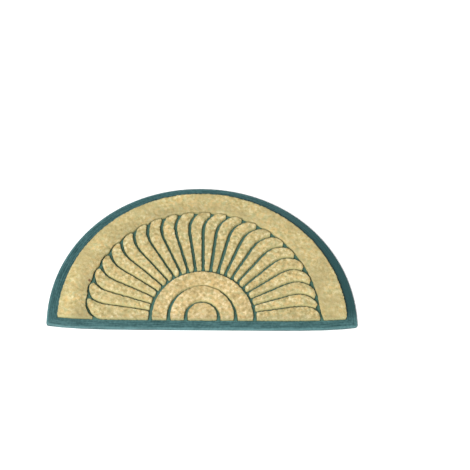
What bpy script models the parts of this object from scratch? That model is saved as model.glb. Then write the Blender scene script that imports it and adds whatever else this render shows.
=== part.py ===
"""Half-round doormat: coir pile standing in the cells of one moulded rubber tray.

The straight side faces -Y and the arc +Y. The origin is under the middle of the mat, on the floor.
The ornament is drawn about one focus, at the middle of the straight border's inner edge: three half
rings, each set a little off it, and a fan of rays that hook over clockwise into a scalloped outline.
"""

import math

import bmesh
import bpy
from mathutils import Vector

# Outline of the mat
HALF_WIDTH = 0.375
ARC_RISE = 0.3665
ARC_POWER = 2.05
FIELD_POWER = 2.0
BORDER_WIDTH = 0.0225
SIDE_WIDENING = 1.12
BOW_RISE = 0.0095
BOW_POWER = 6
CORNER_RADIUS = 0.005

# Heights of the rubber and of the pile
BASE_THICKNESS = 0.003
RUBBER_TOP = 0.007
EDGE_BEVEL = 0.0025
PILE_TOP = 0.018
PILE_ROUNDING = 0.002
CLEARANCE = 0.0003

# Rubber ribs between the cells of pile
RING_RADII = (0.0400, 0.0812, 0.1265)
RING_OFFSETS = ((-0.0026, 0.0060), (-0.0026, 0.0055), (-0.0012, 0.0022))
RING_RIB_WIDTH = 0.0071
RAY_RIB_WIDTH = 0.0067

# Fan of rays: angles in degrees about the focus, counted clockwise from the left
RAYS = 21
RAY_PITCH = 8.07
FAN_TURN = -0.2
SWAY_START = 0.200
SWAY = 0.45
SPREAD = 0.065
HOOK = 6.0
HOOK_GROWTH = 0.195
HOOK_POWER = 4
LAST_HOOK = 4.1

# Scalloped outline of the fan
FAN_HALF_WIDTH = 0.2825
FAN_RISE = 0.2880
FAN_POWER = 2.07
SCALLOP_RISE = 0.0060
SCALLOP_FALL = 0.0002
LAST_SCALLOP_RISE = 0.0015
LEFT_END_X = -0.252
LEFT_END_RISE = 0.0155
RIGHT_END_X = 0.290

# Steps along the curved lines
ARC_STEPS = 60
BOW_STEPS = 14
RING_STEPS = (14, 22, 28)
RAY_STEPS = 8
SCALLOP_STEPS = 6
END_STEPS = 8

# Worked out from the sizes above
DEPTH = BORDER_WIDTH + ARC_RISE
FOCUS = Vector((0.0, BORDER_WIDTH - DEPTH / 2, 0.0))
OVERSHOOT = 0.010
SKIM = 0.0005
WELD = 1e-6
FLAT_ANGLE = math.radians(0.2)

# Materials: colour, roughness
RUBBER = ((0.035, 0.130, 0.140, 1.0), 0.55)
COIR = ((0.560, 0.420, 0.190, 1.0), 0.95)


def clear_scene():
    for old in list(bpy.data.objects):
        bpy.data.objects.remove(old, do_unlink=True)


def make_collection(name, parent):
    collection = bpy.data.collections.new(name)
    parent.children.link(collection)
    return collection


def make_material(name, colour, roughness):
    material = bpy.data.materials.new(name)
    material.use_nodes = True
    shader = material.node_tree.nodes["Principled BSDF"]
    shader.inputs["Base Color"].default_value = colour
    shader.inputs["Roughness"].default_value = roughness
    shader.inputs["Metallic"].default_value = 0.0
    return material


def around_focus(radius, degrees):
    angle = math.radians(degrees)
    return FOCUS + Vector((radius * math.cos(angle), radius * math.sin(angle), 0.0))


def straight_side(x):
    """The straight side's outer edge, which falls back a little towards both corners."""
    return -DEPTH / 2 + BOW_RISE * abs(x / HALF_WIDTH) ** BOW_POWER


def outline(inset, power):
    """The mat's outline moved inwards: the arc from right to left, then the straight side.

    The arc is half an ellipse, with slightly full shoulders where the power is over 2, and the border
    is widest at its two ends.
    """
    half = HALF_WIDTH - SIDE_WIDENING * inset
    rise = ARC_RISE - inset
    corner = straight_side(half) + inset
    start = math.asin((max(corner - FOCUS.y, 0.0) / rise) ** (power / 2))
    turn = math.pi - 2 * start
    points = []
    for step in range(ARC_STEPS + 1):
        angle = start + turn * step / ARC_STEPS
        across = math.copysign(abs(math.cos(angle)) ** (2 / power), math.cos(angle))
        up = abs(math.sin(angle)) ** (2 / power)
        points.append(FOCUS + Vector((half * across, rise * up, 0.0)))
    first = 0 if corner < FOCUS.y else 1
    for step in range(first, BOW_STEPS + 1 - first):
        x = -half * math.cos(math.pi * step / BOW_STEPS)
        points.append(Vector((x, straight_side(x) + inset, 0.0)))
    return points


def bulged(start, end, rise, steps):
    """Points of a circular arc that stands out by rise to the left of the chord."""
    chord = end - start
    middle = (start + end) / 2
    radius = (chord.length ** 2 / 4 + rise ** 2) / (2 * rise)
    left = Vector((-chord.y, chord.x, 0.0)).normalized()
    centre = middle + left * (rise - radius)
    half_angle = math.asin(chord.length / 2 / radius)
    points = []
    for step in range(steps + 1):
        angle = half_angle * (1 - 2 * step / steps)
        along = chord.normalized() * -math.sin(angle)
        points.append(centre + (left * math.cos(angle) + along) * radius)
    return points


def fan_radius(degrees):
    angle = math.radians(degrees)
    across = abs(math.cos(angle)) / FAN_HALF_WIDTH
    up = abs(math.sin(angle)) / FAN_RISE
    return (across ** FAN_POWER + up ** FAN_POWER) ** (-1 / FAN_POWER)


def ray_angle(ray, part):
    """A ray's angle at part of the way, 0 to 1, from where it starts to sway to its tip."""
    middle = (RAYS + 1) / 2
    hook = LAST_HOOK if ray == RAYS else HOOK + HOOK_GROWTH * (ray - middle)
    sway = SWAY + SPREAD * (middle - ray)
    straight = 90 + FAN_TURN + RAY_PITCH * (middle - ray)
    return straight + sway * part - hook * part ** HOOK_POWER


def ray_tip(ray):
    degrees = ray_angle(ray, 1.0)
    return around_focus(fan_radius(degrees), degrees)


def ray_line(ray):
    tip_radius = (ray_tip(ray) - FOCUS).length
    points = [around_focus(RING_RADII[-1], ray_angle(ray, 0.0))]
    for step in range(RAY_STEPS + 1):
        part = step / RAY_STEPS
        radius = SWAY_START + (tip_radius - SWAY_START) * part
        points.append(around_focus(radius, ray_angle(ray, part)))
    return points


def ring_line(radius, offset, steps):
    """A half ring about a point off the focus, run on under the straight border."""
    below = math.degrees(math.asin((OVERSHOOT + offset[1]) / radius))
    turn = 180 + 2 * below
    aside = Vector((*offset, 0.0))
    return [aside + around_focus(radius, 180 + below - turn * step / steps) for step in range(steps + 1)]


def fan_lines():
    """The fan's lines: each ray hooks over and runs on as the scallop above the petal after it."""
    tips = [ray_tip(ray) for ray in range(1, RAYS + 1)]
    left_end = FOCUS + Vector((LEFT_END_X, 0.0, 0.0))
    right_end = FOCUS + Vector((RIGHT_END_X, 0.0, 0.0))
    round_end = bulged(left_end, tips[0], LEFT_END_RISE, END_STEPS)
    start = round_end[0] + (round_end[0] - round_end[1]).normalized() * OVERSHOOT
    lines = [[start] + round_end]
    for ray in range(1, RAYS):
        rise = SCALLOP_RISE - SCALLOP_FALL * ray if ray < RAYS - 1 else LAST_SCALLOP_RISE
        scallop = bulged(tips[ray - 1], tips[ray], rise, SCALLOP_STEPS)
        lines.append(ray_line(ray) + scallop[1:])
    below = Vector((0.0, -OVERSHOOT, 0.0))
    lines.append(ray_line(RAYS) + [right_end, right_end + below])
    return lines


def rib_lines():
    """Each rib's middle line and width."""
    ribs = []
    for ring in zip(RING_RADII, RING_OFFSETS, RING_STEPS):
        ribs.append((ring_line(*ring), RING_RIB_WIDTH))
    for line in fan_lines():
        ribs.append((line, RAY_RIB_WIDTH))
    return ribs


def mesh_from_curve(curve_object, collection):
    """A welded mesh object in place of a curve object, with each flat side as one face."""
    name = curve_object.name
    graph = bpy.context.evaluated_depsgraph_get()
    mesh = bpy.data.meshes.new_from_object(curve_object.evaluated_get(graph))
    place = curve_object.matrix_world.copy()
    bpy.data.objects.remove(curve_object, do_unlink=True)
    solid = bpy.data.objects.new(name, mesh)
    solid.matrix_world = place
    collection.objects.link(solid)
    work = bmesh.new()
    work.from_mesh(mesh)
    bmesh.ops.remove_doubles(work, verts=work.verts, dist=WELD)
    bmesh.ops.dissolve_limit(work, angle_limit=FLAT_ANGLE, verts=work.verts, edges=work.edges)
    bmesh.ops.recalc_face_normals(work, faces=work.faces)
    work.to_mesh(mesh)
    work.free()
    return solid


def curve_through(name, points, closed, collection):
    curve = bpy.data.curves.new(name, "CURVE")
    curve.dimensions = "2D"
    spline = curve.splines.new("POLY")
    spline.points.add(len(points) - 1)
    for point, place in zip(spline.points, points):
        point.co = (place[0], place[1], 0.0, 1.0)
    spline.use_cyclic_u = closed
    curve_object = bpy.data.objects.new(name, curve)
    collection.objects.link(curve_object)
    return curve_object


def plate(name, points, bottom, top, collection):
    """A flat plate of the given outline between two heights."""
    flat = curve_through(name, points, True, collection)
    flat.data.fill_mode = "BOTH"
    flat.data.extrude = (top - bottom) / 2
    flat.location.z = (top + bottom) / 2
    bpy.context.view_layer.update()
    return mesh_from_curve(flat, collection)


def bevel_edges(solid, picked, width, segments):
    """Rounds the edges for which picked says yes, given the edge's two ends in the world."""
    work = bmesh.new()
    work.from_mesh(solid.data)
    place = solid.matrix_world
    edges = [edge for edge in work.edges if picked(*(place @ vert.co for vert in edge.verts))]
    bmesh.ops.bevel(
        work, geom=edges, offset=width, segments=segments, profile=0.5, affect="EDGES", clamp_overlap=False
    )
    work.to_mesh(solid.data)
    work.free()


def groove(name, line, half_width, top, flare_from, collection):
    """A cutter along a rib's line, with upright walls that open at 45 degrees above flare_from."""
    section = [(-half_width, 0.0), (half_width, 0.0)]
    if flare_from < top:
        wide = half_width + top - flare_from
        section += [(half_width, flare_from), (wide, top), (-wide, top), (-half_width, flare_from)]
    else:
        section += [(half_width, top), (-half_width, top)]
    profile = curve_through(name + "_section", section, True, collection)
    path = curve_through(name, line, False, collection)
    path.data.bevel_mode = "OBJECT"
    path.data.bevel_object = profile
    path.data.use_fill_caps = True
    bpy.context.view_layer.update()
    cutter = mesh_from_curve(path, collection)
    bpy.data.objects.remove(profile, do_unlink=True)
    return cutter


def hide_cutter(cutter):
    cutter.hide_render = True
    cutter.display_type = "WIRE"


def cut(solid, cutters):
    """Cuts the cutters out of the solid and leaves the result as its own mesh."""
    for cutter in cutters:
        modifier = solid.modifiers.new(cutter.name, "BOOLEAN")
        modifier.operation = "DIFFERENCE"
        modifier.solver = "EXACT"
        modifier.object = cutter
    graph = bpy.context.evaluated_depsgraph_get()
    mesh = bpy.data.meshes.new_from_object(solid.evaluated_get(graph))
    solid.modifiers.clear()
    solid.data = mesh


def field(name, inset, bottom, top, spare, flare_from, cutters):
    """The area inside the border, parted into cells along the ribs, each widened by spare.

    The ribs' cutters flare a little higher than the area's own bevel, so that no two edges fall together.
    """
    area = plate(name, outline(BORDER_WIDTH + inset, FIELD_POWER), bottom, top, cutters)
    if flare_from < top:
        on_top = top - CLEARANCE
        bevel_edges(area, lambda a, b: min(a.z, b.z) > on_top, top - flare_from, 1)
    grooves = []
    for number, (line, width) in enumerate(rib_lines(), start=1):
        name_here = f"{name}_groove_{number:02d}"
        half = width / 2 + spare
        grooves.append(groove(name_here, line, half, top + SKIM, flare_from + SKIM, cutters))
    cut(area, grooves)
    for cutter in grooves:
        bpy.data.objects.remove(cutter, do_unlink=True)
    return area


def loose_parts(solid):
    """The solid's separate bodies, as lists of face indices."""
    work = bmesh.new()
    work.from_mesh(solid.data)
    unseen = set(work.faces)
    parts = []
    while unseen:
        front = [unseen.pop()]
        body = list(front)
        while front:
            face = front.pop()
            for edge in face.edges:
                for neighbour in edge.link_faces:
                    if neighbour in unseen:
                        unseen.remove(neighbour)
                        front.append(neighbour)
                        body.append(neighbour)
        parts.append(sorted(face.index for face in body))
    work.free()
    return parts


def body_mesh(solid, faces, name):
    work = bmesh.new()
    work.from_mesh(solid.data)
    work.transform(solid.matrix_world)
    work.faces.ensure_lookup_table()
    kept = set(faces)
    others = [face for face in work.faces if face.index not in kept]
    bmesh.ops.delete(work, geom=others, context="FACES")
    mesh = bpy.data.meshes.new(name)
    work.to_mesh(mesh)
    work.free()
    return mesh


def cell_place(mesh):
    """Mean radius and angle about the focus of a cell's points."""
    middle = sum((vert.co for vert in mesh.vertices), Vector()) / len(mesh.vertices)
    radii = [(vert.co - FOCUS).xy.length for vert in mesh.vertices]
    away = middle - FOCUS
    return sum(radii) / len(radii), math.degrees(math.atan2(away.y, away.x))


def make_tray(collection, cutters):
    """Base, border and ribs are one moulding: a plate with a pocket for each cell of pile."""
    tray = plate("rubber_tray", outline(0.0, ARC_POWER), 0.0, RUBBER_TOP, collection)
    side = HALF_WIDTH - CLEARANCE
    corner_y = FOCUS.y - CORNER_RADIUS

    def at_corner(a, b):
        upright = abs(a.z - b.z) > CLEARANCE
        return upright and min(abs(a.x), abs(b.x)) > side and max(a.y, b.y) < corner_y

    def on_top(a, b):
        return min(a.z, b.z) > RUBBER_TOP - CLEARANCE

    bevel_edges(tray, at_corner, CORNER_RADIUS, 3)
    bevel_edges(tray, on_top, EDGE_BEVEL, 2)
    above = RUBBER_TOP + OVERSHOOT
    pockets = field("pockets", 0.0, BASE_THICKNESS, above, 0.0, math.inf, cutters)
    cut(tray, [pockets])
    hide_cutter(pockets)
    tray.data.materials.clear()
    tray.data.materials.append(make_material("rubber", *RUBBER))
    return tray


def make_pile(collection, cutters):
    """One slab of coir cut along the ribs, then each cell named for its place."""
    bottom = BASE_THICKNESS + CLEARANCE
    rounding = PILE_TOP - PILE_ROUNDING
    slab = field("pile", CLEARANCE, bottom, PILE_TOP, CLEARANCE, rounding, cutters)
    cells = []
    for faces in loose_parts(slab):
        mesh = body_mesh(slab, faces, "cell")
        cells.append((*cell_place(mesh), mesh))
    bpy.data.objects.remove(slab, do_unlink=True)
    cells.sort(key=lambda cell: cell[0])
    names = ["coir_half_disc", "coir_ring_inner", "coir_ring_outer"]
    petals = sorted(cells[len(names):-1], key=lambda cell: -cell[1])
    cells = cells[:len(names)] + petals + cells[-1:]
    names += [f"coir_petal_{number:02d}" for number in range(1, RAYS + 2)] + ["coir_band"]
    named = dict(zip(names, cells, strict=True))
    for name, (_, _, mesh) in named.items():
        mesh.name = name
        mesh.materials.clear()
        mesh.materials.append(make_material(name, *COIR))
        collection.objects.link(bpy.data.objects.new(name, mesh))


def main():
    clear_scene()
    root = bpy.context.scene.collection
    mat = make_collection("half_round_doormat", root)
    cutters = make_collection("cutters", root)
    make_tray(mat, cutters)
    make_pile(mat, cutters)


main()
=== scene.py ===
"""Looks of the half-round coir doormat: its moulded rubber, its coir pile, and a plain studio round it.

Every cell of pile is a crowned, tufted pad with loose fibres standing out of it. The tray is the
CAD solid in a moulded rubber finish, with the fine lengthwise ridges of its border added.
"""

import math

import bmesh
import bpy
import numpy as np
from bpy.props import FloatProperty, FloatVectorProperty, IntProperty, PointerProperty
from bpy.types import Operator, Panel, PropertyGroup
from mathutils import Matrix, Vector, noise
from mathutils.geometry import delaunay_2d_cdt
from mathutils.kdtree import KDTree


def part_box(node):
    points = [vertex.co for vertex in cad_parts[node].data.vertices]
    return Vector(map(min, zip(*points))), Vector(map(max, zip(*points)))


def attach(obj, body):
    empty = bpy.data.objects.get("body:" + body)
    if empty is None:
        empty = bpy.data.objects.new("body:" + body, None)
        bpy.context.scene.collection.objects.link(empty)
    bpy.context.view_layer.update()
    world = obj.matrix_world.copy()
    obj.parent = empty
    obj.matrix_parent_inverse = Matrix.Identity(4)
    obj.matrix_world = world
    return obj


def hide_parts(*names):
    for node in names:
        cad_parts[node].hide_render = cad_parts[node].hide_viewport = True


bl_info = {
    "name": "Half-round coir doormat",
    "version": (1, 0, 0),
    "blender": (4, 5, 0),
    "location": "View3D > Sidebar > Doormat",
    "description": "Finishes the rubber tray and grows the coir pile of a half-round doormat",
    "category": "Object",
}

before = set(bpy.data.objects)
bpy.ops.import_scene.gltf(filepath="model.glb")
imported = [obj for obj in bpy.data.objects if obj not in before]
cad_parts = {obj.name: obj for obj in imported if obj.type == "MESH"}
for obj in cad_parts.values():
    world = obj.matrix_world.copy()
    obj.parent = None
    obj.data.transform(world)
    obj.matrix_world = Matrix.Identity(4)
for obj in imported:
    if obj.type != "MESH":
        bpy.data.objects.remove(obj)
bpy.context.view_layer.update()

TRAY = "rubber_tray"
BAND = "coir_band"
PETALS = sorted(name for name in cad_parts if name.startswith("coir_petal_"))
INNER_RING = "coir_ring_inner"
RINGS = ["coir_ring_outer", INNER_RING, "coir_half_disc"]
TRAY_LOW, TRAY_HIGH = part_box(TRAY)
PILE_LOW, PILE_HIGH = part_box(BAND)
BAKE_MAP = "OFBake"

# How near things touch and two points are one, and the decimals to which CAD corners are read
TOUCH = 1e-4
WELD = 1e-6
DECIMALS = 5

# The mat's outline: its border, its bowed straight side, the powers of the arc's outer and inner edges,
# and the share by which distances in from the arc are shorter at its shoulders
BORDER_WIDTH = 0.0225
BORDER_WIDENING = 1.12
BOW = 0.0095
BOW_POWER = 6
ARC_POWER = 2.05
FIELD_POWER = 2.0
SHOULDER_SHARE = 0.122
FOCUS_Y = TRAY_LOW.y + BORDER_WIDTH
ARC_STEPS = 180
SIDE_STEPS = 60

# A ridge of the border: how deep it starts, how far all are set inwards, and its flank in shares of its
# width and height
RIDGE_SINK = 0.0003
RIDGE_SHIFT = 0.0004
RIDGE_FLANK = ((-0.42, 0.45), (-0.2, 1.0))

# The range that most noise lies in, how much coarser a coarse grain is, and how rough the surfaces are
USUAL_NOISE = (0.35, 0.65)
COARSE_GRAIN = 3.7
RUBBER_ROUGHNESS = (0.46, 0.66)
COIR_ROUGHNESS = (0.95, 0.75)

# Wear of the rubber, with light and shade painted on it: how pale each side is painted, as painted light
# at the front and left and painted shade on the right, where one fades into the next, what each cause
# adds, a painted highlight along the rim among them, the size of its streaks, how far in its rim reaches,
# and where its ribs begin about the border's width
RIGHT_PAINTED_LIGHT = 0.05
LEFT_PAINTED_LIGHT = 0.69
FRONT_PAINTED_LIGHT = 0.92
ARC_FADE = (0.85, 0.05)
FRONT_FADE = (0.08, 0.01)
WORN_DEPTH = 0.0015
RUB_WEAR = 0.50
EVEN_WEAR = 0.10
RIM_HIGHLIGHT = 0.45
DUST_WEAR = 0.15
STREAK_NOISE = (0.30, 0.70)
STREAK_WEAR = (-0.25, 0.40)
STREAK_WIDTH = 0.0021
STREAK_LENGTH = 0.045
RIM_INSET = (0.007, 0.002)
RIB_INSET = (-0.0015, 0.0005)
RIB_SHARE = 0.85

# Tones of the coir: noise at which it is dark, usual and pale, sizes and strengths of its patches, depths
# at which its sides are painted pale, as painted light reaching down into the grooves, and at which it is
# mottled, and where the outer band is duller or brighter, in shares of the fan's size
DARK_LEVEL = 0.36
USUAL_LEVEL = 0.50
PALE_LEVEL = 0.64
TUFT_SHARE = 0.60
FLECK_SIZE = 0.0011
OLIVE_SIZE = 0.011
OLIVE_LEVEL = 0.68
WARM_SIZE = 0.009
WARM_SHARE = 0.65
TONE_SIZE = 0.045
TONE_SHADE = 0.74
ROOT_DEPTH = 0.0070
STRAW_DEPTH = 0.0022
FAN_SIDES = (0.35, -0.35)
FAN_START = 1.05
BRIGHT_BAND = 1.08

# The one small stain on the outer band
SPECK = (-0.2758, -0.0722, 0.0180)
SPECK_RADIUS = 0.0043
SPECK_SHARE = 0.85

# The scalloped rib round the fan: its ellipse about the focus, and in shares of that its reach and start,
# how open its notches are from left to right, and how soon the overhang ends where an edge turns away
FAN_HALF_WIDTH = 0.2825
FAN_RISE = 0.2880
SCALLOP_REACH = 0.075
SCALLOP_START = (0.03, 0.09)
NOTCH_PLACES = (-1.0, -0.75, 0.1, 0.6, 1.0)
NOTCH_OPENINGS = (0.7, 0.1, 0.0, 0.9, 1.0)
FACING_POWER = 6

# Corners of a cell: how many points away the turn is measured, and the turns of a slight and a full one
CORNER_SPAN = 2
CORNER_TURNS = (0.25, 0.60)

# Sizes of the pile's waves, and the layer of noise that each reads, so that no two move together
EDGE_WAVE = 0.0040
SIDE_WAVE = 0.0026
LEAN_WAVE = 0.0065
TUFT_LAYER = 0.5
FINE_TUFT_LAYER = 3.5
LUMP_LAYER = 7.5
LEAN_LAYERS = (11.5, 17.5)
EDGE_LAYER = 23.5
FINE_TUFT_SIZE = 0.4
FINE_TUFT_HEIGHT = 0.5

# Points of a pad, in shares of its mesh step, and how finely distances to an outline are measured
PAD_JITTER = 0.25
PAD_MARGIN = 0.45
TRIM_SHARE = 0.85
EDGE_DETAIL = 3

# Loose fibres: most in one mesh, how they stray and splay at an edge, and how they differ in size
MOST_FIBRES = 48000
FIBRE_JITTER = 0.5
LEAN_GAIN = 1.6
STRAY_GAIN = 0.6
SPLAY = 0.08
SPLAY_REACH = 0.002
FIBRE_LENGTHS = (0.45, 1.35)
FIBRE_RADII = (0.7, 1.3)

# Places and sizes of the two lamps
KEY_PLACE = (-1.7, -2.6, 4.1)
KEY_SIZE = 2.1
FILL_PLACE = (2.4, 1.6, 2.6)
FILL_SIZE = 2.4


def length(name, description, default):
    """A length of the mat, in metres."""
    return FloatProperty(
        name=name, description=description, default=default, min=0.0, precision=4, unit="LENGTH"
    )


def measure(name, description, default, unit):
    """A number in this unit."""
    return FloatProperty(name=name, description=description, default=default, unit=unit)


def share(name, description, default):
    """A share of a whole, from 0 to 1."""
    return FloatProperty(
        name=name, description=description, default=default, min=0.0, max=1.0, subtype="FACTOR"
    )


def angle(name, description, default):
    """An angle, with its default in degrees."""
    return measure(name, description, math.radians(default), "ROTATION")


def colour(name, description, default):
    """A colour in red, green and blue."""
    return FloatVectorProperty(
        name=name, description=description, default=default, size=3, min=0.0, max=1.0, subtype="COLOR"
    )


def whole(name, description, default, least=0):
    """A whole number."""
    return IntProperty(name=name, description=description, default=default, min=least)


class DOORMAT_PG_rubber(PropertyGroup):
    """Sizes and colours of the moulded rubber"""

    body: colour("Rubber", "Colour of clean rubber", (0.011, 0.054, 0.056))
    worn_and_lit: colour("Worn rubber", "Colour of rubbed and dusty rubber", (0.075, 0.180, 0.185))
    # Painted light and coir dust: the ribs are painted paler, as lit deep in the pile, and greener with
    # dust
    ribs: colour("Ribs", "Colour of the ribs, dull with coir dust", (0.052, 0.124, 0.093))
    grain: length("Grain", "Size of the fine moulded grain", 0.0009)
    border: length("Border width", "Width of the ridged border", BORDER_WIDTH)
    widening: measure("Side widening", "How much wider the border is at its ends", BORDER_WIDENING, "NONE")
    bow: length("Bow", "How far the straight side falls back at its corners", BOW)
    ridges: whole("Ridges", "Number of ridges along the border", 4, least=1)
    ridge_pitch: length("Ridge pitch", "Distance from one ridge to the next", 0.0044)
    ridge_width: length("Ridge width", "Width of a ridge at its foot", 0.0022)
    ridge_height: length("Ridge height", "Height of a ridge above the border", 0.0011)


class DOORMAT_PG_coir(PropertyGroup):
    """Sizes and colours of the coir pile"""

    band_pale: colour("Band, pale", "Palest coir of the outer band", (0.670, 0.594, 0.354))
    band_middle: colour("Band, middle", "Usual coir of the outer band", (0.520, 0.434, 0.204))
    band_dark: colour("Band, dark", "Darkest coir of the outer band", (0.375, 0.296, 0.114))
    petal_pale: colour("Petals, pale", "Palest coir of the petals", (0.780, 0.690, 0.430))
    petal_middle: colour("Petals, middle", "Usual coir of the petals", (0.508, 0.420, 0.196))
    petal_dark: colour("Petals, dark", "Darkest coir of the petals", (0.280, 0.218, 0.084))
    olive: colour("Olive", "Greyish green coir found in patches", (0.365, 0.400, 0.208))
    warm: colour("Warm", "Golden coir found in patches", (0.628, 0.443, 0.190))
    # Painted light: the pile's lower sides are painted this even pale colour, as lit down into the grooves
    root: colour("Root", "Clean coir low down beside the ribs", (0.575, 0.525, 0.252))
    speck: colour("Speck", "Colour of the one small stain on the band", (0.120, 0.030, 0.015))
    ring_tint: FloatVectorProperty(
        name="Ring tint", description="The rings' colour against the petals'", default=(1.07, 1.015, 1.025)
    )
    front_shade: share("Front shade", "How bright the pile is at the very front", 0.72)
    front_reach: length("Front reach", "How far in from the front the pile is duller", 0.0130)
    fan_shade: share("Fan shade", "How bright the band is on the left beside the fan", 0.86)
    fan_reach: share("Fan reach", "How far out it is duller there, as a share of the fan's size", 0.16)
    tuft_size: length("Tuft size", "Distance from one tuft to the next", 0.0078)
    tuft_height: length("Tuft height", "How much the tufts differ in height", 0.0011)
    lump_size: length("Lump size", "Length of the slow rise and fall of the pile", 0.038)
    lump_height: length("Lump height", "Height of that rise and fall", 0.0007)
    rim: length("Rim", "How sharply the pile drops at the very edge of a cell", 0.0006)
    rim_reach: length("Rim reach", "How far in from the edge that drop goes", 0.0012)
    crown: length("Crown", "How much lower the pile is near the edge of a cell", 0.0005)
    crown_reach: length("Crown reach", "How far in from the edge the pile comes up", 0.0070)
    bulge: length("Bulge", "How unevenly the pile's sides stand", 0.0011)
    draw_in: length("Draw-in", "How far the pile's sides stand back from the ribs", 0.0006)
    petal_draw_in: length("Petal draw-in", "How much further that is on the petals", 0.0002)
    hang: length("Hang", "How far the pile hangs over the scalloped rib round the fan", 0.0026)
    ring_hang: length("Ring hang", "How far the inner ring hangs over the rib behind it", 0.0042)
    soften: whole("Soften", "How many times all corners are rounded off", 4)
    notch_soften: whole("Notch soften", "How many times more the corners at the scallops are", 40)
    sweep: angle("Sweep", "How far all the pile leans away from the straight side", 14.5)
    mesh_step: length("Mesh step", "Distance between the points of a pad's surface", 0.0017)
    fibre_step: length("Fibre step", "Distance from one fibre to the next", 0.00112)
    fibre_root: length("Fibre root", "How deep a fibre starts below the surface", 0.0022)
    fibre_length: length("Fibre length", "How far a fibre stands out of the surface", 0.0013)
    fibre_radius: length("Fibre radius", "Radius of a fibre at its root", 0.00048)
    lean: angle("Lean", "How far whole tufts lean over", 14.0)
    stray: angle("Stray", "How far one fibre strays from its tuft", 16.0)
    seed: whole("Seed", "Start of the random draws", 7)


class DOORMAT_PG_studio(PropertyGroup):
    """Floor, light and camera"""

    floor: colour("Floor", "Colour of the plain floor", (0.92, 0.92, 0.92))
    floor_size: length("Floor size", "Radius of the round floor", 9.0)
    sky: share("Sky", "Strength of the even light from all round", 0.50)
    key: measure("Key light", "Power of the large soft light", 335.0, "POWER")
    fill: measure("Fill light", "Power of the light opposite", 12.0, "POWER")
    aim_x: measure("Aim X", "Where the view meets the floor", 0.0813, "LENGTH")
    aim_y: measure("Aim Y", "Where the view meets the floor", 0.0657, "LENGTH")
    distance: length("Distance", "From the camera to where the view meets the floor", 2.921)
    elevation: angle("Elevation", "Angle of the view above the floor", 62.28)
    turn: angle("Turn", "Turn of the view about the upright, clockwise from above", 7.31)
    roll: angle("Roll", "Roll of the camera about its line of sight", 7.15)
    lens: measure("Lens", "Focal length in millimetres", 89.0, "CAMERA")


# Shader nodes


def shader_group(name, inputs, outputs):
    """An empty shader node group with these named sockets, and its two end nodes."""
    tree = bpy.data.node_groups.new(name, "ShaderNodeTree")
    for label, kind, value in inputs:
        socket = tree.interface.new_socket(label, in_out="INPUT", socket_type="NodeSocket" + kind)
        socket.default_value = value
    for label, kind in outputs:
        tree.interface.new_socket(label, in_out="OUTPUT", socket_type="NodeSocket" + kind)
    return tree, tree.nodes.new("NodeGroupInput").outputs, tree.nodes.new("NodeGroupOutput").inputs


def feed(tree, socket, value):
    """Links an output to this socket, or sets the socket to a value."""
    if hasattr(value, "is_output"):
        tree.links.new(value, socket)
    else:
        socket.default_value = value


def maths(tree, operation, first, second=0.0, clamp=False):
    """One step of arithmetic on numbers and outputs."""
    node = tree.nodes.new("ShaderNodeMath")
    node.operation = operation
    node.use_clamp = clamp
    feed(tree, node.inputs[0], first)
    feed(tree, node.inputs[1], second)
    return node.outputs[0]


def blended(tree, factor, first, second):
    """A colour that goes from first to second as the factor goes from 0 to 1."""
    node = tree.nodes.new("ShaderNodeMix")
    node.data_type = "RGBA"
    feed(tree, node.inputs[0], factor)
    for socket, value in ((node.inputs[6], first), (node.inputs[7], second)):
        feed(tree, socket, value if hasattr(value, "is_output") else (*value, 1.0))
    return node.outputs[2]


def dimmed(tree, tone, brightness):
    """A colour brought to this share of its brightness."""
    node = tree.nodes.new("ShaderNodeVectorMath")
    node.operation = "SCALE"
    tree.links.new(tone, node.inputs[0])
    tree.links.new(brightness, node.inputs["Scale"])
    return node.outputs[0]


def ranged(tree, value, low, high, to_low=0.0, to_high=1.0):
    """The value brought from low..high to to_low..to_high, and held inside."""
    node = tree.nodes.new("ShaderNodeMapRange")
    tree.links.new(value, node.inputs["Value"])
    bounds = {"From Min": low, "From Max": high, "To Min": to_low, "To Max": to_high}
    for label, bound in bounds.items():
        feed(tree, node.inputs[label], bound)
    return node.outputs["Result"]


def own_place(tree):
    """Where a point lies in the mat's own frame."""
    return tree.nodes.new("ShaderNodeTexCoord").outputs["Object"]


def own_axes(tree):
    """A point's X, Y and Z in the mat's own frame."""
    split = tree.nodes.new("ShaderNodeSeparateXYZ")
    tree.links.new(own_place(tree), split.inputs[0])
    return split.outputs


def speckle(tree, size, detail=2.0, squeeze=1.0, shift=0.0):
    """Even noise in the mat's own frame, in blotches of about this size, drawn out upwards by squeeze."""
    mapping = tree.nodes.new("ShaderNodeMapping")
    mapping.inputs["Location"].default_value = (shift, shift, shift)
    mapping.inputs["Scale"].default_value = (1.0, 1.0, squeeze)
    tree.links.new(own_place(tree), mapping.inputs["Vector"])
    grain = tree.nodes.new("ShaderNodeTexNoise")
    grain.inputs["Detail"].default_value = detail
    tree.links.new(mapping.outputs["Vector"], grain.inputs["Vector"])
    tree.links.new(maths(tree, "DIVIDE", 1.0, size), grain.inputs["Scale"])
    return grain.outputs["Fac"]


def depth_group():
    """How far up a point lies between two heights, from 0 to 1."""
    inputs = [("Low", "Float", 0.0), ("High", "Float", 0.01)]
    tree, given, out = shader_group("depth", inputs, [("Mask", "Float")])
    tree.links.new(ranged(tree, own_axes(tree)["Z"], given["Low"], given["High"]), out["Mask"])
    return tree


def front_group():
    """How bright the pile is: duller along the straight side."""
    inputs = [("Front", "Float", PILE_LOW.y), ("Behind", "Float", PILE_HIGH.y), ("Shade", "Float", 0.7)]
    tree, given, out = shader_group("front", inputs, [("Brightness", "Float")])
    bounds = given["Front"], given["Behind"], given["Shade"]
    tree.links.new(ranged(tree, own_axes(tree)["Y"], *bounds, 1.0), out["Brightness"])
    return tree


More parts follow.
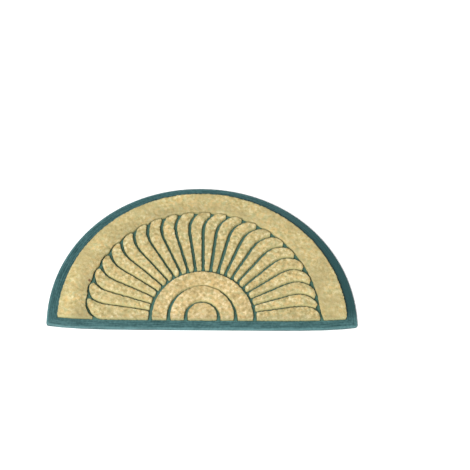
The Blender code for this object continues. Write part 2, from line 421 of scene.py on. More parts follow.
def patches_group():
    """Slow, soft patches, from 0 to 1, for dust on rubber and tone in coir."""
    inputs = [("Size", "Float", 0.04), ("Low", "Float", 0.40), ("High", "Float", 0.62)]
    tree, given, out = shader_group("patches", inputs, [("Mask", "Float")])
    cloud = speckle(tree, given["Size"], detail=3.0, shift=0.31)
    tree.links.new(ranged(tree, cloud, given["Low"], given["High"]), out["Mask"])
    return tree


def grain_group():
    """Fine grain for bump, over a coarser one that also gives the roughness."""
    inputs = [("Size", "Float", 0.001), ("Stretch", "Float", 1.0)]
    outputs = [("Height", "Float"), ("Roughness", "Float")]
    tree, given, out = shader_group("grain", inputs, outputs)
    coarse_size = maths(tree, "MULTIPLY", given["Size"], COARSE_GRAIN)
    fine = speckle(tree, given["Size"])
    coarse = speckle(tree, coarse_size, detail=1.0, shift=0.73)
    height = maths(tree, "ADD", maths(tree, "MULTIPLY", fine, given["Stretch"]), coarse)
    tree.links.new(height, out["Height"])
    tree.links.new(ranged(tree, coarse, *USUAL_NOISE), out["Roughness"])
    return tree


def border_group():
    """How far in from the edge a point lies, how much painted light falls there, and the border's streaks.

    The paleness by side is painted light and shade: the straight side is painted palest, then the left
    half of the arc, and the right of the arc darkest, as though lit from the front and left.
    """
    inputs = [
        ("Half Width", "Float", TRAY_HIGH.x),
        ("Rise", "Float", TRAY_HIGH.y - FOCUS_Y),
        ("Widening", "Float", BORDER_WIDENING),
        ("Focus", "Float", FOCUS_Y),
        ("Front", "Float", TRAY_LOW.y),
        ("Bow", "Float", BOW),
    ]
    outputs = [("Inset", "Float"), ("Exposure", "Float"), ("Streaks", "Float")]
    tree, given, out = shader_group("border", inputs, outputs)
    axes = own_axes(tree)
    x, y = axes["X"], axes["Y"]
    across = maths(tree, "DIVIDE", x, given["Half Width"])
    up = maths(tree, "DIVIDE", maths(tree, "SUBTRACT", y, given["Focus"]), given["Rise"])
    powers = [maths(tree, "POWER", maths(tree, "ABSOLUTE", part), ARC_POWER) for part in (across, up)]
    outward = maths(tree, "POWER", maths(tree, "ADD", *powers), 1 / ARC_POWER)
    at_end = maths(tree, "DIVIDE", given["Half Width"], given["Widening"])
    reach = maths(tree, "MULTIPLY", maths(tree, "SUBTRACT", at_end, given["Rise"]), powers[0])
    reach = maths(tree, "ADD", given["Rise"], reach)
    shoulder = maths(tree, "MULTIPLY", powers[0], maths(tree, "SUBTRACT", 1.0, powers[0], clamp=True))
    narrowed = maths(tree, "SUBTRACT", 1.0, maths(tree, "MULTIPLY", shoulder, 4 * SHOULDER_SHARE))
    reach = maths(tree, "MULTIPLY", reach, narrowed)
    from_arc = maths(tree, "MULTIPLY", maths(tree, "SUBTRACT", 1.0, outward), reach)
    fall = maths(tree, "MULTIPLY", maths(tree, "POWER", across, float(BOW_POWER)), given["Bow"])
    from_front = maths(tree, "SUBTRACT", maths(tree, "SUBTRACT", y, given["Front"]), fall)
    inset = maths(tree, "MINIMUM", from_arc, from_front)
    tree.links.new(inset, out["Inset"])
    along = tree.nodes.new("ShaderNodeCombineXYZ")
    sizes = (inset, STREAK_WIDTH), (x, STREAK_LENGTH), (y, STREAK_LENGTH)
    for socket, parts in zip(along.inputs, sizes):
        tree.links.new(maths(tree, "DIVIDE", *parts), socket)
    streak = tree.nodes.new("ShaderNodeTexNoise")
    streak.inputs["Scale"].default_value = 1.0
    streak.inputs["Detail"].default_value = 1.0
    tree.links.new(along.outputs["Vector"], streak.inputs["Vector"])
    tree.links.new(streak.outputs["Fac"], out["Streaks"])
    # Painted light and shade: the front and the left of the arc are painted pale, the right of the arc
    # dark
    on_front = ranged(tree, up, *FRONT_FADE)
    on_arc = ranged(tree, across, *ARC_FADE, RIGHT_PAINTED_LIGHT, LEFT_PAINTED_LIGHT)
    tree.links.new(ranged(tree, on_front, 0.0, 1.0, on_arc, FRONT_PAINTED_LIGHT), out["Exposure"])
    return tree


def coir_group():
    """Mottled coir: pale tips, usual straw and dark gaps, with some olive and golden coir."""
    inputs = [
        ("Pale", "Color", (0.8, 0.7, 0.4, 1.0)),
        ("Middle", "Color", (0.6, 0.5, 0.2, 1.0)),
        ("Dark", "Color", (0.3, 0.2, 0.1, 1.0)),
        ("Olive", "Color", (0.3, 0.3, 0.1, 1.0)),
        ("Warm", "Color", (0.6, 0.4, 0.2, 1.0)),
        ("Tuft Size", "Float", 0.004),
        ("Fibre Size", "Float", 0.001),
        ("Olive Share", "Float", 0.5),
    ]
    outputs = [("Color", "Color"), ("Height", "Float")]
    tree, given, out = shader_group("mottled_coir", inputs, outputs)
    tufts = speckle(tree, given["Tuft Size"], detail=1.5, squeeze=0.3)
    fibres = speckle(tree, given["Fibre Size"], detail=1.0, squeeze=0.2, shift=0.17)
    parts = [maths(tree, "MULTIPLY", tufts, TUFT_SHARE), maths(tree, "MULTIPLY", fibres, 1.0 - TUFT_SHARE)]
    mixed = maths(tree, "ADD", *parts)
    deep = blended(tree, ranged(tree, mixed, DARK_LEVEL, USUAL_LEVEL), given["Dark"], given["Middle"])
    straw = blended(tree, ranged(tree, mixed, USUAL_LEVEL, PALE_LEVEL), deep, given["Pale"])
    green = speckle(tree, OLIVE_SIZE, squeeze=0.3, shift=0.53)
    green = maths(tree, "MULTIPLY", ranged(tree, green, USUAL_LEVEL, OLIVE_LEVEL), given["Olive Share"])
    straw = blended(tree, green, straw, given["Olive"])
    gold = speckle(tree, WARM_SIZE, squeeze=0.3, shift=0.91)
    gold = ranged(tree, gold, USUAL_LEVEL, PALE_LEVEL, 0.0, WARM_SHARE)
    tree.links.new(blended(tree, gold, straw, given["Warm"]), out["Color"])
    tree.links.new(mixed, out["Height"])
    return tree


# Effects that more than one finish uses
EFFECTS = {
    "depth": depth_group,
    "front": front_group,
    "patches": patches_group,
    "grain": grain_group,
    "border": border_group,
    "mottled_coir": coir_group,
}


def place_group(tree, effect, **values):
    """A shader group, built once and shared, placed in a material with its own values and colours."""
    node = tree.nodes.new("ShaderNodeGroup")
    node.node_tree = bpy.data.node_groups.get(effect) or EFFECTS[effect]()
    for name, value in values.items():
        socket = node.inputs[name.replace("_", " ").title()]
        socket.default_value = (*value, 1.0) if hasattr(value, "__len__") else value
    return node.outputs


def material(name, roughness, specular):
    """A new material, its node tree and its shader."""
    made = bpy.data.materials.new(name)
    made.use_nodes = True
    shader = made.node_tree.nodes["Principled BSDF"]
    shader.inputs["Roughness"].default_value = roughness
    shader.inputs["Specular IOR Level"].default_value = specular
    return made, made.node_tree, shader


def bumped(tree, shader, height, distance, strength):
    """Gives the shader's surface this relief."""
    bump = tree.nodes.new("ShaderNodeBump")
    bump.inputs["Distance"].default_value = distance
    bump.inputs["Strength"].default_value = strength
    tree.links.new(height, bump.inputs["Height"])
    tree.links.new(bump.outputs["Normal"], shader.inputs["Normal"])


def rubber_material(name, settings, worn_from, worn_to):
    """Matt moulded rubber: dusty in soft patches and rubbed pale where it stands high.

    Its rim is painted paler as a painted highlight. Its front and left are painted paler as painted light,
    and its right darker as painted shade. Its ribs are painted paler as painted light, and greener with
    coir dust.
    """
    made, tree, shader = material(name, roughness=0.5, specular=0.35)
    border = place_group(
        tree, "border", half_width=TRAY_HIGH.x, rise=TRAY_HIGH.y - TRAY_LOW.y - settings.border,
        widening=settings.widening, focus=TRAY_LOW.y + settings.border, front=TRAY_LOW.y, bow=settings.bow,
    )
    top = place_group(tree, "depth", low=worn_from, high=worn_to)["Mask"]
    dust = place_group(tree, "patches", size=0.035, low=0.35, high=0.75)["Mask"]
    rub = place_group(tree, "patches", size=0.006, low=0.38, high=0.70)["Mask"]
    grain = place_group(tree, "grain", size=settings.grain, stretch=0.6)
    # Painted highlight: the outer rim, a rounded edge that catches the light, is painted paler
    rim = ranged(tree, border["Inset"], *RIM_INSET)
    rubbed = maths(tree, "ADD", maths(tree, "MULTIPLY", rub, RUB_WEAR), EVEN_WEAR)
    wear_and_light = maths(tree, "MULTIPLY", top, rubbed)
    wear_and_light = maths(tree, "ADD", wear_and_light, maths(tree, "MULTIPLY", rim, RIM_HIGHLIGHT))
    wear_and_light = maths(tree, "ADD", wear_and_light, maths(tree, "MULTIPLY", dust, DUST_WEAR))
    wear_and_light = maths(tree, "ADD", wear_and_light, ranged(tree, border["Streaks"], *STREAK_NOISE, *STREAK_WEAR))
    # Painted light and shade: all the paleness is scaled by side, most at the front, least on the right
    wear_and_light = maths(tree, "MULTIPLY", wear_and_light, border["Exposure"], clamp=True)
    rubber = blended(tree, wear_and_light, settings.body, settings.worn_and_lit)
    # Painted light and coir dust: the ribs, deep between the pile, take their paler, greener colour
    fade_from, fade_to = (settings.border + part for part in RIB_INSET)
    inside = ranged(tree, border["Inset"], fade_from, fade_to, 0.0, RIB_SHARE)
    tree.links.new(blended(tree, inside, rubber, settings.ribs), shader.inputs["Base Color"])
    roughness = ranged(tree, grain["Roughness"], 0.0, 1.0, *RUBBER_ROUGHNESS)
    tree.links.new(roughness, shader.inputs["Roughness"])
    bumped(tree, shader, grain["Height"], distance=0.0003, strength=0.35)
    return made


def coir_material(name, coir, tones, olive_share, tone_share, outer_band=False):
    """Coir mottled in three tones of straw, painted pale low on its sides as painted light, duller at the
    front.
    """
    made, tree, shader = material(name, roughness=0.85, specular=0.25)
    pale, middle, dark = tones
    straw = place_group(
        tree, "mottled_coir", pale=pale, middle=middle, dark=dark, olive=coir.olive,
        warm=coir.warm, tuft_size=coir.tuft_size, fibre_size=FLECK_SIZE, olive_share=olive_share,
    )
    tone = place_group(tree, "patches", size=TONE_SIZE, low=0.30, high=0.70)["Mask"]
    low, high = PILE_HIGH.z - ROOT_DEPTH, PILE_HIGH.z - STRAW_DEPTH
    upper = place_group(tree, "depth", low=low, high=high)["Mask"]
    grain = place_group(tree, "grain", size=0.0007, stretch=1.0)
    behind = PILE_LOW.y + coir.front_reach
    front = place_group(tree, "front", front=PILE_LOW.y, behind=behind, shade=coir.front_shade)
    shade = tuple(TONE_SHADE * part for part in middle)
    toned = blended(tree, maths(tree, "MULTIPLY", tone, tone_share), straw["Color"], shade)
    # Painted light: low on its sides the pile is painted the even pale root colour instead of its mottle
    coloured = dimmed(tree, blended(tree, upper, coir.root, toned), front["Brightness"])
    if outer_band:
        coloured = dimmed(tree, coloured, fan_mask(tree, coir))
        coloured = blended(tree, speck_mask(tree), coloured, coir.speck)
    tree.links.new(coloured, shader.inputs["Base Color"])
    roughness = ranged(tree, straw["Height"], *USUAL_NOISE, *COIR_ROUGHNESS)
    tree.links.new(roughness, shader.inputs["Roughness"])
    relief = maths(tree, "ADD", straw["Height"], grain["Height"])
    bumped(tree, shader, relief, distance=0.0009, strength=0.7)
    return made


def fan_mask(tree, coir):
    """How bright the outer band is: on the left it is duller beside the fan, and brighter further out."""
    axes = own_axes(tree)
    across = maths(tree, "DIVIDE", axes["X"], FAN_HALF_WIDTH)
    up = maths(tree, "DIVIDE", maths(tree, "SUBTRACT", axes["Y"], FOCUS_Y), FAN_RISE)
    squares = [maths(tree, "MULTIPLY", part, part) for part in (across, up)]
    outward = maths(tree, "SQRT", maths(tree, "ADD", *squares))
    dull = ranged(tree, across, *FAN_SIDES, 1.0, coir.fan_shade)
    brighter = ranged(tree, across, *FAN_SIDES, 1.0, BRIGHT_BAND)
    return ranged(tree, outward, FAN_START, 1.0 + coir.fan_reach, dull, brighter)


def speck_mask(tree):
    """The one small stain on the outer band."""
    away = tree.nodes.new("ShaderNodeVectorMath")
    away.operation = "DISTANCE"
    away.inputs[1].default_value = SPECK
    tree.links.new(own_place(tree), away.inputs[0])
    return ranged(tree, away.outputs["Value"], SPECK_RADIUS, SPECK_RADIUS * 0.5, 0.0, SPECK_SHARE)


# Meshes


def placed(name, data):
    """A new object of this data, in the scene."""
    made = bpy.data.objects.new(name, data)
    bpy.context.scene.collection.objects.link(made)
    return made


def mesh_from_work(name, work):
    """A mesh object of this working mesh."""
    mesh = bpy.data.meshes.new(name)
    work.to_mesh(mesh)
    work.free()
    return placed(name, mesh)


def mesh_from_arrays(name, points, triangles):
    """A mesh object of these points and triangles, given as two arrays."""
    mesh = bpy.data.meshes.new(name)
    mesh.vertices.add(len(points))
    mesh.vertices.foreach_set("co", points.astype(np.float32).ravel())
    mesh.loops.add(triangles.size)
    mesh.loops.foreach_set("vertex_index", triangles.astype(np.int32).ravel())
    mesh.polygons.add(len(triangles))
    mesh.polygons.foreach_set("loop_start", np.arange(0, triangles.size, 3, dtype=np.int32))
    mesh.update(calc_edges=True)
    if mesh.validate():
        raise RuntimeError(f"the mesh of {name} isn't sound")
    return placed(name, mesh)


def finished(piece, finish, smooth):
    """Dresses a piece and lets it ride on the mat."""
    piece.data.materials.append(finish)
    piece.data.polygons.foreach_set("use_smooth", [smooth] * len(piece.data.polygons))
    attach(piece, "root")
    return piece


def cell_outline(node):
    """The outline of a cell of pile, counter-clockwise from above, read from its CAD node's underside."""
    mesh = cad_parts[node].data
    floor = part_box(node)[0].z + TOUCH
    edges = set()
    for face in mesh.polygons:
        corners = [mesh.vertices[index].co for index in face.vertices]
        if max(corner.z for corner in corners) < floor:
            ends = [(round(corner.x, DECIMALS), round(corner.y, DECIMALS)) for corner in corners]
            edges.update(zip(ends, ends[1:] + ends[:1]))
    following = {end: start for start, end in edges if (end, start) not in edges}
    loop = [min(following)]
    while len(loop) < len(following):
        loop.append(following[loop[-1]])
    return np.array(loop)


def stepped(outline, step):
    """The outline with points no further apart than step."""
    points = []
    for start, end in zip(outline, np.roll(outline, -1, axis=0)):
        count = max(1, math.ceil(math.dist(start, end) / step))
        points += [start + (end - start) * part / count for part in range(count)]
    return np.array(points)


def scattered(outline, step, jitter, draw):
    """Points inside the outline on a triangular grid, each moved a little at random."""
    low, high = outline.min(axis=0), outline.max(axis=0)
    rise = step * math.sqrt(3) / 2
    rows = np.arange(low[1], high[1], rise)
    columns = np.arange(low[0] - step, high[0], step)
    x, y = np.meshgrid(columns, rows)
    x = x + (np.arange(len(rows)) % 2)[:, None] * step / 2
    points = np.stack([x.ravel(), y.ravel()], axis=1)
    points += draw.uniform(-jitter * step, jitter * step, points.shape)
    odd = np.zeros(len(points), bool)
    for (x1, y1), (x2, y2) in zip(outline, np.roll(outline, -1, axis=0)):
        if y1 != y2:
            across = (y1 > points[:, 1]) != (y2 > points[:, 1])
            odd ^= across & (points[:, 0] < (x2 - x1) * (points[:, 1] - y1) / (y2 - y1) + x1)
    return points[odd]


def evened(outline, step):
    """The outline with evenly spaced points, about step apart."""
    closed = np.concatenate([outline, outline[:1]])
    gone = np.concatenate([[0.0], np.cumsum(np.linalg.norm(np.diff(closed, axis=0), axis=1))])
    places = np.linspace(0.0, gone[-1], math.ceil(gone[-1] / step), endpoint=False)
    return np.stack([np.interp(places, gone, closed[:, axis]) for axis in range(2)], axis=1)


def outwards(points):
    """The direction out of the cell at each point of its outline."""
    along = np.roll(points, -1, axis=0) - np.roll(points, 1, axis=0)
    return np.stack([along[:, 1], -along[:, 0]], axis=1) / np.linalg.norm(along, axis=1)[:, None]


def cornered(points):
    """How sharply the outline turns outwards at each of its points, from 0 to 1."""
    before = points - np.roll(points, CORNER_SPAN, axis=0)
    after = np.roll(points, -CORNER_SPAN, axis=0) - points
    turn = before[:, 0] * after[:, 1] - before[:, 1] * after[:, 0]
    turn /= np.linalg.norm(before, axis=1) * np.linalg.norm(after, axis=1)
    return np.interp(turn, CORNER_TURNS, (0.0, 1.0))


def rounded(points, passes, amount):
    """The outline with its corners rounded off, by an amount from 0 to 1 at each point."""
    for _ in range(passes):
        average = 0.5 * points + 0.25 * (np.roll(points, 1, axis=0) + np.roll(points, -1, axis=0))
        points = points + amount * (average - points)
    return points


def fan_edge(points):
    """How near the scalloped rib is to each point, how open its notches are there, and the way out."""
    from_focus = points - np.array([0.0, FOCUS_Y])
    across, up = from_focus[:, 0] / FAN_HALF_WIDTH, from_focus[:, 1] / FAN_RISE
    near = np.exp(-(((np.hypot(across, up) - 1.0) / SCALLOP_REACH) ** 2))
    near = near * np.interp(up, SCALLOP_START, (0.0, 1.0))
    opened = np.interp(across, NOTCH_PLACES, NOTCH_OPENINGS)
    return near, opened, from_focus / np.linalg.norm(from_focus, axis=1)[:, None]


def pile_outline(node, coir):
    """The outline that the pile takes up at its top, and how far it hangs over the ribs at each point.

    Its corners are rounded off, most where two scallops meet at the fan's far left and on its right. It is
    a little uneven. It hangs over the scalloped rib, and the inner ring hangs over the rib behind it.
    """
    points = rounded(evened(cell_outline(node), coir.mesh_step), coir.soften, 1.0)
    near, opened, radial = fan_edge(points)
    points = rounded(points, coir.notch_soften, (near * opened)[:, None])
    out = outwards(points)
    facing = np.abs((out * radial).sum(axis=1)) ** FACING_POWER
    hang = coir.hang * near * facing * (1.0 - cornered(points))
    if node == INNER_RING:
        hang = hang + coir.ring_hang * np.maximum(out[:, 1], 0.0) ** FACING_POWER
    uneven = np.array([wave(x, y, EDGE_WAVE, EDGE_LAYER) for x, y in points])
    inwards = coir.draw_in + coir.bulge * uneven - hang
    if node in PETALS:
        inwards += coir.petal_draw_in
    moved = points - out * inwards[:, None]
    tree, _ = edge_tree(points, coir)
    clear = [tree.find((x, y, 0.0))[2] > TRIM_SHARE * abs(step) for (x, y), step in zip(moved, inwards)]
    return moved[clear], (out * hang[:, None])[clear]


def edge_tree(outline, coir):
    """A search tree of closely spaced points of the outline, and the direction out of the cell at each."""
    points = stepped(outline, coir.mesh_step / EDGE_DETAIL)
    tree = KDTree(len(points))
    for index, (x, y) in enumerate(points):
        tree.insert((x, y, 0.0), index)
    tree.balance()
    return tree, outwards(points)


def wave(x, y, size, layer):
    """Smooth noise round zero, in waves of about this size."""
    return noise.noise(Vector((x / size, y / size, layer)))


def pile_height(x, y, edge, coir):
    """Height of the pile's surface at a point this far from the edge of its cell."""
    drop = coir.rim * math.exp(-edge / coir.rim_reach) + coir.crown * math.exp(-edge / coir.crown_reach)
    fine = wave(x, y, coir.tuft_size * FINE_TUFT_SIZE, FINE_TUFT_LAYER)
    tufts = wave(x, y, coir.tuft_size, TUFT_LAYER) + FINE_TUFT_HEIGHT * fine
    lumps = wave(x, y, coir.lump_size, LUMP_LAYER)
    return PILE_HIGH.z - drop + tufts * coir.tuft_height + lumps * coir.lump_height


def swept(points, coir):
    """The points moved away from the straight side, the more the higher they stand above the ribs."""
    above = np.maximum(points[:, 2] - TRAY_HIGH.z, 0.0)
    moved = points.copy()
    moved[:, 1] += above * math.tan(coir.sweep)
    return moved


def make_pad(node, coir, draw):
    """The pile of one cell as a crowned, tufted pad in place of its CAD solid."""
    rim, hanging = pile_outline(node, coir)
    count = len(rim)
    inner = scattered(rim, coir.mesh_step, PAD_JITTER, draw)
    tree, _ = edge_tree(rim, coir)
    edges = np.array([tree.find((x, y, 0.0))[2] for x, y in inner])
    inner = inner[edges > coir.mesh_step * PAD_MARGIN]
    flat = [Vector(point) for point in np.concatenate([rim, inner])]
    around = list(range(count))
    flat, _, faces, origins, _, _ = delaunay_2d_cdt(flat, [], [around], 1, WELD)
    if any(min(came) >= count for came in origins[:count]) or len(flat) != count + len(inner):
        raise RuntimeError(f"the surface of {node} doesn't follow its outline")
    top = []
    for point in flat:
        edge = tree.find((point.x, point.y, 0.0))[2]
        top.append((point.x, point.y, pile_height(point.x, point.y, edge, coir)))
    top = np.array(top)
    out = outwards(rim)
    over_ribs = TRAY_HIGH.z + 3 * TOUCH
    halfway = 0.5 * (TRAY_HIGH.z + top[:count, 2].min())
    rings = []
    for height, reached in ((PILE_LOW.z, 0.0), (over_ribs, 0.0), (halfway, 0.5)):
        push = np.array([wave(x, y, SIDE_WAVE, height / SIDE_WAVE) for x, y in rim])
        moved = rim - hanging * (1.0 - reached) + out * (reached * coir.bulge * push)[:, None]
        rings.append(np.column_stack([moved, np.full(count, height)]))
    base = len(top)
    points = np.concatenate([top] + rings)
    triangles = [tuple(face) for face in faces]
    starts = [0] + [base + level * count for level in (2, 1, 0)]
    for upper, lower in zip(starts, starts[1:]):
        for index in range(count):
            after = (index + 1) % count
            triangles.append((upper + index, lower + index, lower + after))
            triangles.append((upper + index, lower + after, upper + after))
    under = delaunay_2d_cdt([Vector(point) for point in rim], [], [around], 1, WELD)[2]
    triangles += [tuple(base + index for index in reversed(face)) for face in under]
    return mesh_from_arrays(node + "_pile", swept(points, coir), np.array(triangles))


def fibre_arrays(node, coir, draw):
    """Points and triangles of the loose fibres of one cell: slim spikes of three sides and a foot."""
    outline, _ = pile_outline(node, coir)
    tree, out = edge_tree(outline, coir)
    feet = scattered(outline, coir.fibre_step, FIBRE_JITTER, draw)
    lean = math.tan(coir.lean)
    places, ways = [], []
    for x, y in feet:
        _, nearest, edge = tree.find((x, y, 0.0))
        over = SPLAY * math.exp(-edge / SPLAY_REACH)
        leaning = [wave(x, y, LEAN_WAVE, layer) * LEAN_GAIN * lean for layer in LEAN_LAYERS]
        places.append((x, y, pile_height(x, y, edge, coir)))
        ways.append((leaning[0] + out[nearest][0] * over, leaning[1] + out[nearest][1] * over, 1.0))
    places, ways = np.array(places), np.array(ways)
    count = len(places)
    stray = math.tan(coir.stray)
    ways[:, :2] += draw.normal(0.0, STRAY_GAIN * stray, (count, 2))
    ways /= np.linalg.norm(ways, axis=1)[:, None]
    proud = coir.fibre_length * draw.uniform(*FIBRE_LENGTHS, count)
    roots = places - ways * coir.fibre_root
    tips = places + ways * proud[:, None]
    radius = coir.fibre_radius * draw.uniform(*FIBRE_RADII, count)
    turn = draw.uniform(0.0, 2 * math.pi, count)
    corners = []
    for side in range(3):
        bearing = turn + side * 2 * math.pi / 3
        ring = np.stack([np.cos(bearing), np.sin(bearing), np.zeros(count)], axis=1)
        corners.append(roots + ring * radius[:, None])
    points = np.stack(corners + [tips], axis=1).reshape(-1, 3)
    spike = np.array([(0, 1, 3), (1, 2, 3), (2, 0, 3), (0, 2, 1)])
    triangles = (np.arange(count)[:, None, None] * 4 + spike).reshape(-1, 3)
    return swept(points, coir), triangles


def make_fibres(name, nodes, coir, draw):
    """The loose fibres of these cells, in as few joined meshes as the count of fibres allows."""
    points, triangles, taken = [], [], 0
    for node in nodes:
        some_points, some_triangles = fibre_arrays(node, coir, draw)
        points.append(some_points)
        triangles.append(some_triangles + taken)
        taken += len(some_points)
    points, triangles = np.concatenate(points), np.concatenate(triangles)
    meshes = math.ceil(len(points) // 4 / MOST_FIBRES)
    order = np.argsort(points[3::4, 0], kind="stable")
    made = []
    for number, chosen in enumerate(np.array_split(order, meshes), start=1):
        picked = points.reshape(-1, 4, 3)[chosen].reshape(-1, 3)
        faces = np.arange(len(chosen))[:, None, None] * 4 + triangles[:4].reshape(1, 4, 3)
        own_name = f"{name}_{number}" if meshes > 1 else name
        piece = mesh_from_arrays(own_name, picked, faces.reshape(-1, 3))
        map_from_above(piece)
        made.append(piece)
    return made


def map_from_above(piece):
    """A map of the piece from above, so that neighbouring fibres share their colours in the export."""
    mesh = piece.data
    places = np.zeros(len(mesh.vertices) * 3, np.float32)
    mesh.vertices.foreach_get("co", places)
    flat = places.reshape(-1, 3)[:, :2]
    flat = (flat - flat.min(axis=0)) / np.ptp(flat, axis=0)
    corners = np.zeros(len(mesh.loops), np.int32)
    mesh.loops.foreach_get("vertex_index", corners)
    layer = mesh.uv_layers.new(name=BAKE_MAP)
    layer.uv.foreach_set("vector", flat[corners].ravel())


def grow_pile(nodes, name, slot, tones, **mottling):
    """Pads and fibres for these cells of pile, in coir of these tones."""
    coir = bpy.context.scene.doormat_coir
    finish = coir_material(name + "_coir", coir, tones, **mottling)
    draw = np.random.default_rng(coir.seed + len(nodes))
    for node in nodes:
        pad = finished(make_pad(node, coir, draw), finish, smooth=True)
        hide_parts(node)
    for piece in make_fibres(name + "_fibres", nodes, coir, draw):
        finished(piece, finish, smooth=False)


def border_line(inset, rubber):
    """The mat's outline moved inwards: its arc from right to left, then its straight side."""
    half = TRAY_HIGH.x - rubber.widening * inset
    focus_y = TRAY_LOW.y + rubber.border
    rise = TRAY_HIGH.y - focus_y - inset
    bend = ARC_POWER + (FIELD_POWER - ARC_POWER) * inset / rubber.border

    def side(x):
        return TRAY_LOW.y + rubber.bow * abs(x / TRAY_HIGH.x) ** BOW_POWER + inset

    start = math.asin((max(side(half) - focus_y, 0.0) / rise) ** (bend / 2))
    points = []
    for step in range(ARC_STEPS + 1):
        bearing = start + (math.pi - 2 * start) * step / ARC_STEPS
        across = math.copysign(abs(math.cos(bearing)) ** (2 / bend), math.cos(bearing))
        up = abs(math.sin(bearing)) ** (2 / bend)
        points.append((half * across, focus_y + rise * up))
    for step in range(SIDE_STEPS + 1):
        x = -half * math.cos(math.pi * step / SIDE_STEPS)
        points.append((x, side(x)))
    return points


def make_ridges(rubber):
    """The border's fine lengthwise ridges, which meet in a mitre at both corners."""
    work = bmesh.new()
    top = TRAY_HIGH.z
    first = (rubber.border - (rubber.ridges - 1) * rubber.ridge_pitch) / 2 + RIDGE_SHIFT
    profile = [(-0.5, top - RIDGE_SINK)]
    profile += [(place, top + rise * rubber.ridge_height) for place, rise in RIDGE_FLANK]
    profile += [(-place, height) for place, height in reversed(profile)]
    for ridge in range(rubber.ridges):
        middle = first + ridge * rubber.ridge_pitch
        lines = []
        for place, height in profile:
            line = border_line(middle + place * rubber.ridge_width, rubber)
            lines.append([work.verts.new((x, y, height)) for x, y in line])
        for line, inner in zip(lines, lines[1:] + lines[:1]):
            for index in range(len(line)):
                after = (index + 1) % len(line)
                work.faces.new((line[index], line[after], inner[after], inner[index]))
    bmesh.ops.remove_doubles(work, verts=work.verts, dist=WELD)
    bmesh.ops.recalc_face_normals(work, faces=work.faces)
    return mesh_from_work("border_ridges", work)


# Studio


def make_floor(studio):
    """A plain round floor under the mat."""
    work = bmesh.new()
    bmesh.ops.create_circle(work, cap_ends=True, segments=96, radius=studio.floor_size)
    floor = mesh_from_work("floor", work)
    made, _, shader = material("plain_floor", roughness=0.9, specular=0.1)
    shader.inputs["Base Color"].default_value = (*studio.floor, 1.0)
    floor.data.materials.append(made)


def make_sky(studio):
    """Even white light from all round."""
    world = bpy.data.worlds.new("even_light")
    world.use_nodes = True
    background = world.node_tree.nodes["Background"]
    background.inputs["Color"].default_value = (1.0, 1.0, 1.0, 1.0)
    background.inputs["Strength"].default_value = studio.sky
    bpy.context.scene.world = world


def make_light(name, place, size, watts):
    """A large square lamp at this place, turned to the mat."""
    lamp = bpy.data.lights.new(name, "AREA")
    lamp.shape = "SQUARE"
    lamp.size = size
    lamp.energy = watts
    light = placed(name, lamp)
    light.location = place
    light.rotation_euler = (-Vector(place)).to_track_quat("-Z", "Y").to_euler()


def make_camera(studio):
    """The photograph's view of the mat."""
    flat, down = math.cos(studio.elevation), math.sin(studio.elevation)
    forward = Vector((flat * math.sin(studio.turn), flat * math.cos(studio.turn), -down))
    right = Vector((math.cos(studio.turn), -math.sin(studio.turn), 0.0))
    up = right.cross(forward)
    across = right * math.cos(studio.roll) + up * math.sin(studio.roll)
    above = up * math.cos(studio.roll) - right * math.sin(studio.roll)
    lens = bpy.data.cameras.new("photo_view")
    lens.lens = studio.lens
    camera = placed("photo_view", lens)
    place = Vector((studio.aim_x, studio.aim_y, 0.0)) - forward * studio.distance
    turned = Matrix((across, above, -forward)).transposed().to_4x4()
    camera.matrix_world = Matrix.Translation(place) @ turned
    bpy.context.scene.camera = camera


class DOORMAT_OT_rubber_tray(Operator):
    """Give the moulded rubber tray its finish"""

    bl_idname = "doormat.rubber_tray"
    bl_label = "Finish rubber tray"

    def execute(self, context):
        rubber = context.scene.doormat_rubber
        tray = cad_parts[TRAY]
        finish = rubber_material("moulded_rubber", rubber, TRAY_HIGH.z - WORN_DEPTH, TRAY_HIGH.z)
        for part in tray.material_slots:
            part.material = finish
        return {"FINISHED"}


class DOORMAT_OT_border_ridges(Operator):
    """Raise the fine ridges that run round the border"""

    bl_idname = "doormat.border_ridges"
    bl_label = "Raise border ridges"

    def execute(self, context):
        rubber = context.scene.doormat_rubber
        top = TRAY_HIGH.z + rubber.ridge_height
        finish = rubber_material("ridge_rubber", rubber, TRAY_HIGH.z, top)
        finished(make_ridges(rubber), finish, smooth=True)
        return {"FINISHED"}


class DOORMAT_OT_band_pile(Operator):
    """Grow the coir of the plain outer band"""

    bl_idname = "doormat.band_pile"
    bl_label = "Grow band"

    def execute(self, context):
        coir = context.scene.doormat_coir
        tones = coir.band_pale, coir.band_middle, coir.band_dark
        grow_pile([BAND], "band", "coir_band", tones, olive_share=0.60, tone_share=0.85, outer_band=True)
        return {"FINISHED"}


class DOORMAT_OT_petal_pile(Operator):
    """Grow the coir of the petals of the fan"""

    bl_idname = "doormat.petal_pile"
    bl_label = "Grow petals"

    def execute(self, context):
        coir = context.scene.doormat_coir
        tones = coir.petal_pale, coir.petal_middle, coir.petal_dark
        grow_pile(PETALS, "petal", "coir_petals", tones, olive_share=0.50, tone_share=0.50)
        return {"FINISHED"}


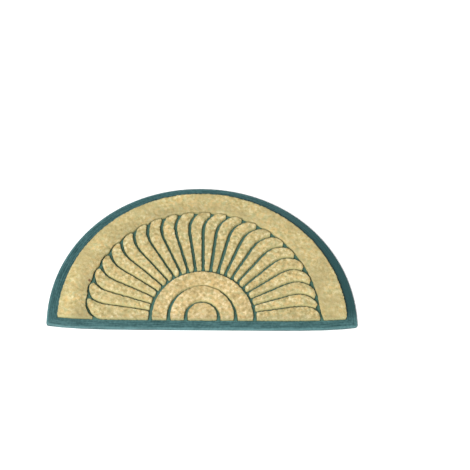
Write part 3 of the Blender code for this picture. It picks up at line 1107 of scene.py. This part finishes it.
class DOORMAT_OT_ring_pile(Operator):
    """Grow the coir of the half rings and the half disc"""

    bl_idname = "doormat.ring_pile"
    bl_label = "Grow rings"

    def execute(self, context):
        coir = context.scene.doormat_coir
        tones = [
            [tint * part for tint, part in zip(coir.ring_tint, tone)]
            for tone in (coir.petal_pale, coir.petal_middle, coir.petal_dark)
        ]
        grow_pile(RINGS, "ring", "coir_rings", tones, olive_share=0.45, tone_share=0.50)
        return {"FINISHED"}


class DOORMAT_OT_studio(Operator):
    """Set up the plain floor, the soft light and the photograph's view"""

    bl_idname = "doormat.studio"
    bl_label = "Set up studio"

    def execute(self, context):
        studio = context.scene.doormat_studio
        make_floor(studio)
        make_sky(studio)
        make_light("key_light", KEY_PLACE, KEY_SIZE, studio.key)
        make_light("fill_light", FILL_PLACE, FILL_SIZE, studio.fill)
        make_camera(studio)
        context.scene.view_settings.view_transform = "Standard"
        return {"FINISHED"}


class DOORMAT_PT_maker(Panel):
    """Sizes, colours and building steps of the doormat"""

    bl_idname = "DOORMAT_PT_maker"
    bl_label = "Half-round doormat"
    bl_space_type = "VIEW_3D"
    bl_region_type = "UI"
    bl_category = "Doormat"

    def draw(self, context):
        for setting, kind in SETTINGS.items():
            box = self.layout.box()
            for name in kind.__annotations__:
                box.prop(getattr(context.scene, setting), name)
        for operator in OPERATORS:
            self.layout.operator(operator.bl_idname)


SETTINGS = {
    "doormat_rubber": DOORMAT_PG_rubber,
    "doormat_coir": DOORMAT_PG_coir,
    "doormat_studio": DOORMAT_PG_studio,
}
OPERATORS = (
    DOORMAT_OT_rubber_tray,
    DOORMAT_OT_border_ridges,
    DOORMAT_OT_band_pile,
    DOORMAT_OT_petal_pile,
    DOORMAT_OT_ring_pile,
    DOORMAT_OT_studio,
)
CLASSES = (*SETTINGS.values(), *OPERATORS, DOORMAT_PT_maker)


def register():
    for kind in CLASSES:
        bpy.utils.register_class(kind)
    for name, kind in SETTINGS.items():
        setattr(bpy.types.Scene, name, PointerProperty(type=kind))


def unregister():
    for name in SETTINGS:
        delattr(bpy.types.Scene, name)
    for kind in reversed(CLASSES):
        bpy.utils.unregister_class(kind)


def main():
    register()
    bpy.ops.doormat.rubber_tray()
    bpy.ops.doormat.border_ridges()
    bpy.ops.doormat.band_pile()
    bpy.ops.doormat.petal_pile()
    bpy.ops.doormat.ring_pile()
    bpy.ops.doormat.studio()


if __name__ == "__main__":
    main()
